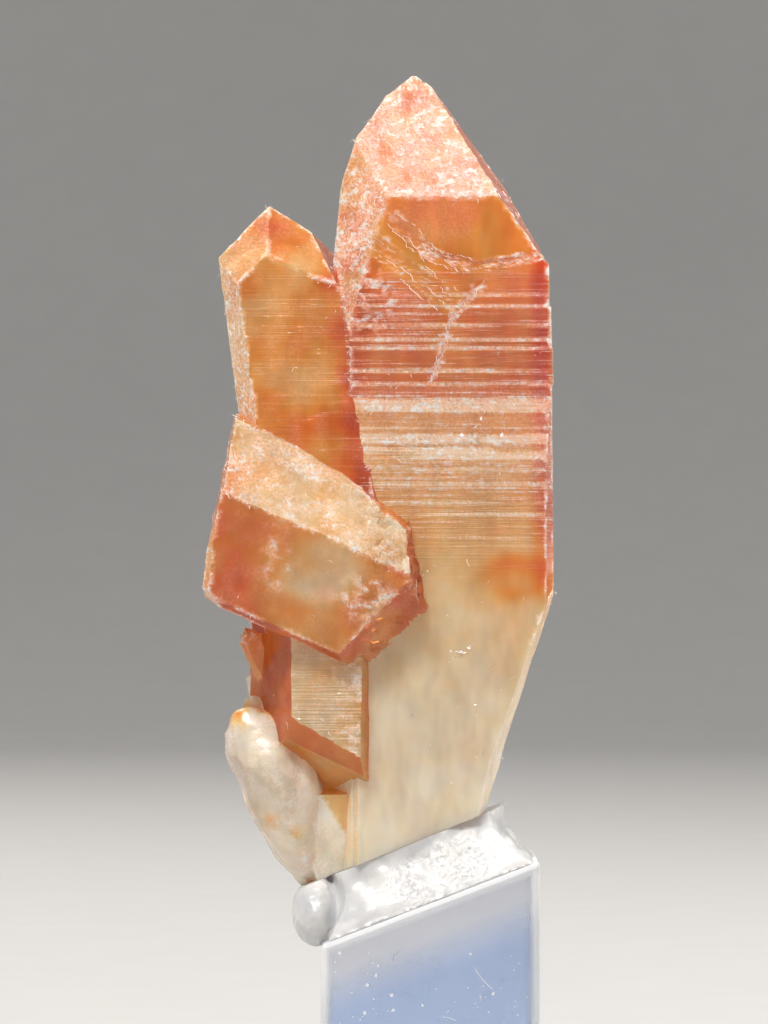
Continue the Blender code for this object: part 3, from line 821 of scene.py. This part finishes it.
class Look:
    """A material in the making, with its node tree and the object's own coordinates."""

    def __init__(self, name, colour):
        self.material = bpy.data.materials.new(name)
        self.material.use_nodes = True
        self.material.diffuse_color = (*colour, 1.0)
        self.tree = self.material.node_tree
        self.place = self.node("ShaderNodeTexCoord").outputs["Object"]

    def feed(self, node, inputs):
        """Sets a node's inputs to values, or links them to outputs."""
        for name, value in inputs.items():
            if isinstance(value, bpy.types.NodeSocket):
                self.tree.links.new(value, node.inputs[name])
            else:
                node.inputs[name].default_value = value

    def node(self, kind, inputs=None, **settings):
        """A new shader node with its settings and its inputs."""
        made = self.tree.nodes.new(kind)
        for name, value in settings.items():
            setattr(made, name, value)
        self.feed(made, inputs or {})
        return made

    def maths(self, operation, first, second=0.0, clamp=False):
        inputs = {0: first, 1: second}
        return self.node("ShaderNodeMath", inputs, operation=operation, use_clamp=clamp).outputs[0]

    def add(self, first, second, clamp=False):
        return self.maths("ADD", first, second, clamp)

    def times(self, first, second, clamp=False):
        return self.maths("MULTIPLY", first, second, clamp)

    def remap(self, value, low, high, to_low=0.0, to_high=1.0):
        inputs = {"Value": value, "From Min": low, "From Max": high, "To Min": to_low, "To Max": to_high}
        return self.node("ShaderNodeMapRange", inputs).outputs["Result"]

    def noise(self, size, detail=3.0, stretch=(1.0, 1.0, 1.0)):
        """Noise from 0 to 1 with lumps about size millimetres wide, stretched along the axes."""
        scale = [1.0 / (size * MM * s) for s in stretch]
        mapped = self.node("ShaderNodeMapping", {"Vector": self.place, "Scale": scale})
        inputs = {"Vector": mapped.outputs[0], "Scale": 1.0, "Detail": detail, "Roughness": 0.6}
        return self.node("ShaderNodeTexNoise", inputs).outputs[0]

    def blend(self, factor, first, second):
        """One colour or colour output mixed into another."""
        first, second = (
            (*colour, 1.0) if isinstance(colour, tuple) else colour for colour in (first, second)
        )
        return self.node("ShaderNodeMix", {0: factor, 6: first, 7: second}, data_type="RGBA").outputs[2]

    def ramp(self, factor, stops):
        ramp = self.node("ShaderNodeValToRGB", {0: factor})
        elements = ramp.color_ramp.elements
        while len(elements) < len(stops):
            elements.new(0.5)
        for element, (position, colour) in zip(elements, stops):
            element.position = position
            element.color = (*colour, 1.0)
        return ramp.outputs[0]

    def bump(self, height, strength, depth):
        inputs = {"Height": height, "Strength": strength, "Distance": depth * MM}
        return self.node("ShaderNodeBump", inputs).outputs[0]

    def done(self, inputs):
        """The material, once its main shader has these inputs."""
        self.feed(self.tree.nodes["Principled BSDF"], inputs)
        return self.material


def quartz_look():
    look = Look("stained_quartz", (0.6, 0.25, 0.1))
    paint = look.node("ShaderNodeAttribute", attribute_name="paint").outputs
    split = look.node("ShaderNodeSeparateColor", {"Color": paint["Color"]})
    lined = paint["Alpha"]
    stain, frost, milk = split.outputs[0], split.outputs[1], split.outputs[2]

    cloud = look.noise(2.4, 2.0)
    stain = look.add(stain, look.remap(cloud, 0.3, 0.7, -0.06, 0.06), True)
    grain = look.noise(0.2)
    flakes = look.remap(grain, 0.42, 0.62)
    # Fine level lines whiten the frost on the lined faces: partly frosted striations, partly painted
    # sheen.
    lines = look.noise(1.0, 3.0, (8.0, 8.0, 0.13))
    frost = look.add(frost, look.times(look.remap(lines, 0.55, 0.66, 0.0, 0.7), lined), True)
    veils = look.noise(3.2, 2.0, (0.7, 0.7, 1.8))
    milk = look.times(milk, look.remap(veils, 0.35, 0.62, 0.8, 1.15), True)

    tint = look.ramp(
        stain,
        (
            (0.0, (0.94, 0.87, 0.75)), (0.2, (0.93, 0.76, 0.5)), (0.4, (0.95, 0.59, 0.24)),
            (0.6, (0.94, 0.39, 0.07)), (0.8, (0.86, 0.19, 0.03)), (1.0, (0.62, 0.07, 0.015)),
        ),
    )
    whitened = look.times(frost, look.remap(flakes, 0.0, 1.0, 0.4, 0.85))
    tint = look.blend(whitened, tint, (0.94, 0.7, 0.62))
    # Painted glints: bright white flecks mixed into the colour where the skin is frosted, standing in for
    # highlights.
    patches = look.noise(0.55, 4.0, (1.0, 1.0, 0.7))
    painted_glitter = look.times(look.remap(patches, 0.53, 0.6, 0.0, 0.85), look.remap(frost, 0.25, 0.75))
    tint = look.blend(painted_glitter, tint, (1.0, 0.95, 0.92))

    covered = look.add(look.times(milk, 0.95), look.times(whitened, 0.9), True)
    sparkle = look.times(look.times(grain, frost), 0.6)
    relief = look.add(look.add(look.times(lines, lined), sparkle), look.times(cloud, 0.3))
    volume = look.node("ShaderNodeVolumeAbsorption", {"Color": (0.98, 0.78, 0.55, 1.0), "Density": 45.0})
    look.feed(look.tree.nodes["Material Output"], {"Volume": volume.outputs[0]})
    return look.done({
        "Base Color": tint,
        "Roughness": look.remap(frost, 0.0, 1.0, 0.04, 0.24),
        "Transmission Weight": look.maths("SUBTRACT", 0.97, look.times(covered, 0.85), True),
        "Normal": look.bump(relief, 0.9, 0.24),
        "IOR": 1.544,
        "Subsurface Weight": 0.7,
        "Subsurface Radius": (1.0, 0.7, 0.45),
        "Subsurface Scale": 2.2 * MM,
    })


def glue_look():
    look = Look("clear_glue", (0.8, 0.8, 0.78))
    crinkle_and_glint = look.node("ShaderNodeAttribute", attribute_name="crinkle_and_glint").outputs["Fac"]
    creases = look.noise(0.28, 4.0)
    cloud = look.noise(2.5)
    # The white flakes are painted highlights on the crinkled patch; the same mask also crinkles the bump.
    flakes = look.times(look.remap(creases, 0.42, 0.55), crinkle_and_glint)
    milky = look.remap(cloud, 0.35, 0.65)
    tint = look.blend(milky, (0.86, 0.88, 0.91), (0.94, 0.92, 0.89))
    thin = look.remap(milky, 0.0, 1.0, 0.4, 0.2)
    height = look.add(look.times(creases, crinkle_and_glint), look.times(cloud, 0.4))
    return look.done({
        "Base Color": look.blend(flakes, tint, (0.99, 0.99, 0.98)),
        "Roughness": 0.3,
        "Transmission Weight": look.maths("SUBTRACT", thin, look.times(flakes, 0.5), True),
        "Normal": look.bump(height, 0.7, 0.25),
        "IOR": 1.47,
        "Subsurface Weight": 0.6,
        "Subsurface Radius": (1.0, 0.95, 0.9),
        "Subsurface Scale": 2.0 * MM,
    })


def acrylic_look():
    look = Look("clear_acrylic", (0.84, 0.88, 0.93))
    haze = look.noise(6.0, 2.0)
    scratches = look.noise(0.5, 2.0, (1.0, 1.0, 8.0))
    x, y, z = look.node("ShaderNodeSeparateXYZ", {"Vector": look.place}).outputs
    # Whiter strips at the bar's upright edges and under its slanted top: partly frosted sawn edges,
    # partly painted internal reflection.
    nearer = look.maths("MINIMUM", look.maths("ABSOLUTE", x), look.maths("ABSOLUTE", y))
    edge = look.remap(nearer, (BAR_SIDE / 2 - 0.75) * MM, (BAR_SIDE / 2 - 0.35) * MM)
    level = look.maths("SUBTRACT", z, look.times(x, math.tan(math.radians(BAR_SLANT))))

    def up_to(low, high, most):
        """Grows over the bar's height, measured down from its slanted top."""
        return look.remap(level, (BAR_MID_HEIGHT - low) * MM, (BAR_MID_HEIGHT - high) * MM, 0.0, most)

    edge = look.maths("MAXIMUM", edge, up_to(0.9, 0.3, 0.8))
    # Painted reflection: the bar is tinted deeper blue below its top few millimetres, standing in for
    # blue surroundings seen through it.
    band = up_to(5.2, 2.2, 1.0)
    tint = look.blend(band, (0.5, 0.63, 0.92), (0.8, 0.82, 0.89))
    thin = look.remap(band, 0.0, 1.0, 0.9, 0.6)
    return look.done({
        "Base Color": look.blend(edge, tint, (0.96, 0.97, 0.98)),
        "Roughness": look.add(look.remap(haze, 0.3, 0.7, 0.12, 0.3), look.times(edge, 0.25)),
        "Transmission Weight": look.maths("SUBTRACT", thin, look.times(edge, 0.4), True),
        "Normal": look.bump(scratches, 0.15, 0.05),
        "IOR": 1.49,
    })


def plain_look(name, shown, size, detail, first, second, roughness, low=0.0, high=1.0):
    """Two close colours mixed in soft flecks, with one roughness all over."""
    look = Look(name, shown)
    fleck = look.remap(look.noise(size, detail), low, high)
    return look.done({"Base Color": look.blend(fleck, first, second), "Roughness": roughness})


def glint_look():
    # Painted glints: pink and white colour for the slivers that stand in for highlights.
    pink, white = (0.99, 0.8, 0.68), (1.0, 0.96, 0.93)
    return plain_look("painted_glints", (0.95, 0.85, 0.8), 0.8, 2.0, pink, white, 0.2, 0.4, 0.6)


def lint_and_glint_look():
    # Pale colour for real lint, and for the shards whose white is partly painted glint.
    cool, warm = (0.85, 0.86, 0.88), (0.97, 0.97, 0.96)
    return plain_look("white_lint_and_glints", (0.9, 0.9, 0.9), 0.5, 2.0, cool, warm, 0.5)


def stage_look():
    dark, pale = (0.44, 0.43, 0.42), (0.47, 0.46, 0.45)
    return plain_look("pale_backdrop", (0.7, 0.7, 0.69), 9.0, 3.0, dark, pale, 0.9)


# The pieces.


def make_stone():
    lines = (
        spaced(*STONE_X),
        spaced(*STONE_Y),
        np.unique(np.concatenate([spaced(*part) for part in STONE_Z])),
    )
    vertices, triangles = contour(lambda p: stone_outside(p)[0], lines)
    stone = mesh_object("crystal", vertices, triangles, quartz_look(), STONE_SHARP)
    make_glints(vertices, triangles, paint_stone(stone, vertices, triangles))
    carried(stone, "quartz", "crystal_cluster")


def on_front(tree, x, z):
    """Where a level line of sight from the front meets the stone."""
    hit = tree.ray_cast(Vector((x, SIGHT_START, z)), Vector((0.0, 1.0, 0.0)))[0]
    return None if hit is None else np.array(hit)


def add_broken_line(rng, tree, start, end, wander, thickness, tubes):
    """A crinkled line with gaps along the stone's front, from one (x, z) place to another."""
    a, b = np.array(start), np.array(end)
    length = np.linalg.norm(b - a)
    across = np.array((a[1] - b[1], b[0] - a[0])) / length
    path, drift = [], 0.0
    for i in range(int(length / GLINT_STRIDE)):
        drift = 0.85 * drift + rng.gauss(0.0, wander)
        x, z = a + (b - a) * i * GLINT_STRIDE / length + across * drift
        place = on_front(tree, x, z)
        broken = place is None or rng.random() < 0.07
        if not broken and path and abs(place[1] - path[-1][1]) > 0.25:
            broken = True
        if broken:
            if len(path) > 2 and rng.random() < 0.7:
                add_tube(*tubes, path, thickness * rng.uniform(0.6, 1.2))
            path = []
        else:
            path.append(place)
    if len(path) > 2:
        add_tube(*tubes, path, thickness)


def make_glints(vertices, triangles, frost):
    """Painted glints: white slivers that stand in for highlights, short ones where the skin is frosted,
    and lines along chips and ledges.
    """
    rng = random.Random(73)
    tubes = ([], [])
    corner = vertices[triangles]
    across = np.cross(corner[:, 1] - corner[:, 0], corner[:, 2] - corner[:, 0])
    area = np.linalg.norm(across, axis=1)
    reach = np.cumsum(area * (0.02 + smooth(frost, 0.3, 0.9)))
    for _ in range(GLINT_COUNT):
        chosen = min(int(np.searchsorted(reach, rng.random() * reach[-1])), len(reach) - 1)
        out = across[chosen] / area[chosen]
        level = unit(np.cross(out, (0.02, 0.01, 1.0)))
        steep = np.cross(out, level)
        heading = rng.gauss(0.0, 0.9)
        place = corner[chosen].mean(axis=0)
        path = []
        for _ in range(rng.choice((3, 4, 5, 7))):
            path.append(place)
            place = place + GLINT_STRIDE * (math.cos(heading) * level + math.sin(heading) * steep)
            heading += rng.gauss(0.0, 0.6)
        add_tube(*tubes, path, rng.uniform(*GLINT_THICKNESS))
    tree = BVHTree.FromPolygons(vertices.tolist(), triangles.tolist())
    for start, end, width, _ in MAIN_CHIPS:
        for share in (-0.45, -0.15, 0.2, 0.45):
            shift = share * width
            line = ((start[0] + shift, start[1] + shift), (end[0] + shift, end[1] + shift))
            add_broken_line(rng, tree, *line, 0.05, 0.035, tubes)
    for top, foot, step in MAIN_FRONT_LEDGES:
        for height in (foot, top):
            line = ((-5.0, height), (7.8, height + rng.uniform(-0.04, 0.04)))
            add_broken_line(rng, tree, *line, 0.008, 0.022 + 0.06 * step, tubes)
    carried(mesh_object("glints", *tubes, glint_look()), "quartz")


def make_inclusions():
    """Tiny bright shards at the front of the main point, from its pale base to its lined part; their
    white is partly real inclusion and partly painted glint off reflecting fractures.
    """
    rng = random.Random(57)
    vertices, faces = [], []
    for x, z, spread, count in INCLUSIONS:
        for _ in range(count):
            right = rng.gauss(x, spread)
            deep = MAIN_FRONT + rng.uniform(-0.03, 0.06)
            place = np.array((right, deep, rng.gauss(z, spread)))
            size = rng.uniform(0.06, 0.2)
            first, corners = len(vertices), rng.choice((3, 4))
            lean = unit([rng.gauss(0.0, 1.0) for _ in range(3)])
            side = unit(np.cross(lean, (0.3, 0.5, 0.8)))
            for k in range(corners):
                a = 2.0 * math.pi * k / corners + rng.uniform(-0.3, 0.3)
                reach = size * rng.uniform(0.6, 1.3)
                vertices.append(place + reach * (math.cos(a) * side + math.sin(a) * np.cross(lean, side)))
            faces.append([first + k for k in range(corners)])
    carried(mesh_object("inclusions", vertices, faces, lint_and_glint_look()), "quartz")


def bar_top(x):
    """Height of the bar's sawn top."""
    return BAR_MID_HEIGHT + math.tan(math.radians(BAR_SLANT)) * x


def glue_outside(p):
    """How far points lie outside the glue: a waisted pad with folds, and two drips on the left."""
    level = np.clip((p[:, 2] - bar_top(p[:, 0]) - 0.15) / 4.6, 0.0, 1.0)
    across = (p[:, 0] + 1.1 * level) / (7.35 - 0.75 * level)
    deep = p[:, 1] / (7.3 - 2.3 * level)
    a = np.arctan2(deep, across)
    square = 1.0 / np.maximum(np.abs(np.cos(a)), np.abs(np.sin(a)))
    arch = np.sin(math.pi * level)
    folds = 0.02 * np.sin(5.0 * a + 2.0 * level) + 0.015 * np.sin(11.0 * a - 4.0 * level)
    reach = (1.0 + (square - 1.0) * (0.92 - 0.6 * level)) * (1.0 + folds * arch) * (1.0 - 0.10 * arch)
    pad = (np.hypot(across, deep) - reach) * 5.0
    pad += 0.16 * (1.0 + rough(p, 1.3, 201)) + 0.07 * (1.0 + rough(p, 0.6, 202))
    for centre, radii in DRIPS:
        ball = np.linalg.norm((p - centre) / radii, axis=1)
        drip = (ball - 1.0) * min(radii)
        drip += 0.05 * (1.0 + rough(p, 0.9, 203)) + 0.1 * np.abs(rough(p, 0.5, 204))
        merge = np.clip(0.5 + 0.5 * (pad - drip) / DRIP_BLEND, 0.0, 1.0)
        pad = pad + (drip - pad) * merge - DRIP_BLEND * merge * (1.0 - merge)
    over_bar = (bar_top(p[:, 0]) + GLUE_GAP - p[:, 2]) * math.cos(math.radians(BAR_SLANT))
    beside = np.maximum(np.abs(p[:, 0]), np.abs(p[:, 1])) - BAR_SIDE / 2 - GLUE_GAP
    into_bar = np.minimum(over_bar, -beside)
    under_stone = (BASE_POINT - GLUE_GAP * UP - p) @ UNDERSIDE[0]
    return np.maximum(np.maximum(pad, into_bar), under_stone)


def make_glue():
    vertices, triangles = contour(glue_outside, [spaced(*part) for part in GLUE_GRID])
    glue = mesh_object("glue", vertices, triangles, glue_look(), GLUE_SHARP)
    above = vertices[:, 2] - bar_top(vertices[:, 0])
    slanted = np.column_stack((vertices[:, 0], vertices[:, 1], above))
    # Where the glue is crinkled and painted with white highlights: a patch at its front and back, and the
    # left drip.
    crinkle_and_glint = spot(slanted, (1.2, 1.9), (6.8, 2.4)) * smooth(rough(vertices, 1.5, 205), -0.6, 0.1)
    crinkle_and_glint *= smooth(np.abs(vertices[:, 1]), 1.5, 3.5)
    crinkle_and_glint += 0.5 * smooth(-vertices[:, 0], 7.2, 7.9) * smooth(rough(vertices, 0.9, 206), -0.3, 0.3)
    stored = glue.data.attributes.new("crinkle_and_glint", "FLOAT", "POINT")
    stored.data.foreach_set("value", crinkle_and_glint.astype(np.float32))
    carried(glue, "glue", "glue_pad")


def dress_bar():
    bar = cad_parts["clear_bar"]
    bar.data.materials.clear()
    bar.data.materials.append(acrylic_look())


def side_point(side, along, height, lift):
    """A place on one of the bar's four sides, lifted off it a little."""
    out = BAR_SIDE / 2 + lift
    level = [(along, -out), (out, along), (-along, out), (-out, -along)][side]
    return (*level, height)


def add_tube(vertices, faces, path, thickness):
    """A thin three-sided tube with pointed ends along a path."""
    first = len(vertices)
    for i, place in enumerate(path):
        radius = thickness * (0.25 if i in (0, len(path) - 1) else 1.0)
        for k in range(3):
            a = 2.0 * math.pi * k / 3
            ring = np.array((math.cos(a), math.sin(a), 0.3 * math.cos(a)))
            vertices.append(np.array(place) + radius * ring)
    for i in range(len(path) - 1):
        for k in range(3):
            low, after = first + 3 * i + k, first + 3 * i + (k + 1) % 3
            faces.append((low, after, after + 3, low + 3))


def make_lint():
    """Dust specks and short fibres that cling to the bar's sides."""
    rng = random.Random(41)
    vertices, faces = [], []
    for side in range(4):
        for _ in range(LINT_SPECKS[side > 0]):
            along = rng.uniform(-6.8, 6.8)
            height = rng.uniform(0.6, 0.95 * bar_top(-6.8))
            middle = np.array(side_point(side, along, height, 0.01))
            radius = rng.choice((0.05, 0.06, 0.07, 0.1, 0.14))
            first = len(vertices)
            for k in range(5):
                a = 2.0 * math.pi * k / 5 + rng.uniform(-0.4, 0.4)
                reach = radius * rng.uniform(0.6, 1.3)
                shift = side_point(side, along + reach * math.cos(a), height + reach * math.sin(a), 0.005)
                vertices.append(np.array(shift))
            vertices.append(middle + 0.6 * (middle - np.array(side_point(side, along, height, -0.03))))
            faces += [(first + k, first + (k + 1) % 5, first + 5) for k in range(5)]
        for _ in range(LINT_FIBRES[side > 0]):
            along, height = rng.uniform(-6.0, 6.0), rng.uniform(2.0, 13.2)
            heading, bend = rng.uniform(0.0, 6.3), rng.uniform(-0.35, 0.35)
            stride = rng.uniform(0.1, 0.28)
            path = []
            for _ in range(9):
                path.append(side_point(side, along, height, 0.02))
                along += stride * math.cos(heading)
                height += stride * math.sin(heading)
                heading += bend
            add_tube(vertices, faces, path, 0.04)
    carried(mesh_object("lint", vertices, faces, lint_and_glint_look()), "acrylic")


# The stage, the lights and the camera.


def make_stage():
    """A round pale dish, so that the floor runs into the backdrop seen from any side."""
    profile = [(r, 0.0) for r in (150.0, 400.0, DISH_FLOOR)]
    for k in range(1, 13):
        a = math.radians(7.5 * k)
        profile.append((DISH_FLOOR + DISH_CURVE * math.sin(a), DISH_CURVE - DISH_CURVE * math.cos(a)))
    profile.append((DISH_FLOOR + DISH_CURVE, DISH_TOP))
    vertices = [(0.0, 0.0, 0.0)]
    for r, z in profile:
        for k in range(DISH_TURNS):
            a = 2.0 * math.pi * k / DISH_TURNS
            vertices.append((r * math.cos(a), r * math.sin(a), z))
    faces = [(0, 1 + k, 1 + (k + 1) % DISH_TURNS) for k in range(DISH_TURNS)]
    for low in range(1, len(vertices) - DISH_TURNS, DISH_TURNS):
        for k in range(DISH_TURNS):
            after = low + (k + 1) % DISH_TURNS
            faces.append((low + k, low + k + DISH_TURNS, after + DISH_TURNS, after))
    mesh_object("backdrop", vertices, faces, stage_look())


def add_softbox(name, at, target, size, power, colour=(1.0, 1.0, 1.0)):
    """A soft area light at a place in millimetres, turned towards a target."""
    lamp = bpy.data.lights.new(name, "AREA")
    lamp.shape = "RECTANGLE"
    lamp.size, lamp.size_y = size[0] * MM, size[1] * MM
    lamp.energy = power
    lamp.color = colour
    made = add_object(name, lamp)
    made.location = Vector(at) * MM
    made.rotation_euler = (Vector(target) - Vector(at)).to_track_quat("-Z", "Y").to_euler()


def light_studio():
    middle = (-2.0, 0.0, 48.0)
    add_softbox("key_light", (-120.0, -200.0, 440.0), middle, (80.0, 80.0), 2.2, (1.0, 0.97, 0.93))
    add_softbox("top_light", (80.0, 160.0, 420.0), middle, (160.0, 160.0), 0.5)
    add_softbox("rim_light", (320.0, 120.0, 160.0), middle, (90.0, 240.0), 0.8, (1.0, 0.98, 0.95))
    for k, letter in enumerate("abcd"):
        out = facing(90.0 * k)
        at, target = 300.0 * out + 620.0 * UP, 1000.0 * out + 120.0 * UP
        add_softbox("wall_light_" + letter, at, target, (500.0, 260.0), 1.6)
    add_softbox("back_light", (-240.0, 400.0, 430.0), middle, (160.0, 160.0), 1.6, (1.0, 0.97, 0.92))
    world = bpy.data.worlds.new("studio")
    world.use_nodes = True
    background = world.node_tree.nodes["Background"]
    background.inputs["Color"].default_value = (0.95, 0.97, 1.0, 1.0)
    background.inputs["Strength"].default_value = 0.14
    bpy.context.scene.world = world


def add_camera():
    lens = bpy.data.cameras.new("camera")
    lens.lens = CAMERA_LENS
    lens.sensor_width = CAMERA_SENSOR
    lens.clip_start, lens.clip_end = 0.01, 10.0
    camera = add_object("camera", lens)
    camera.location = Vector(CAMERA_AT) * MM
    camera.rotation_euler = (math.radians(90.0), 0.0, 0.0)
    bpy.context.scene.camera = camera


make_stone()
make_inclusions()
make_glue()
dress_bar()
make_lint()
make_stage()
light_studio()
add_camera()
bpy.context.scene.view_settings.view_transform = "Standard"
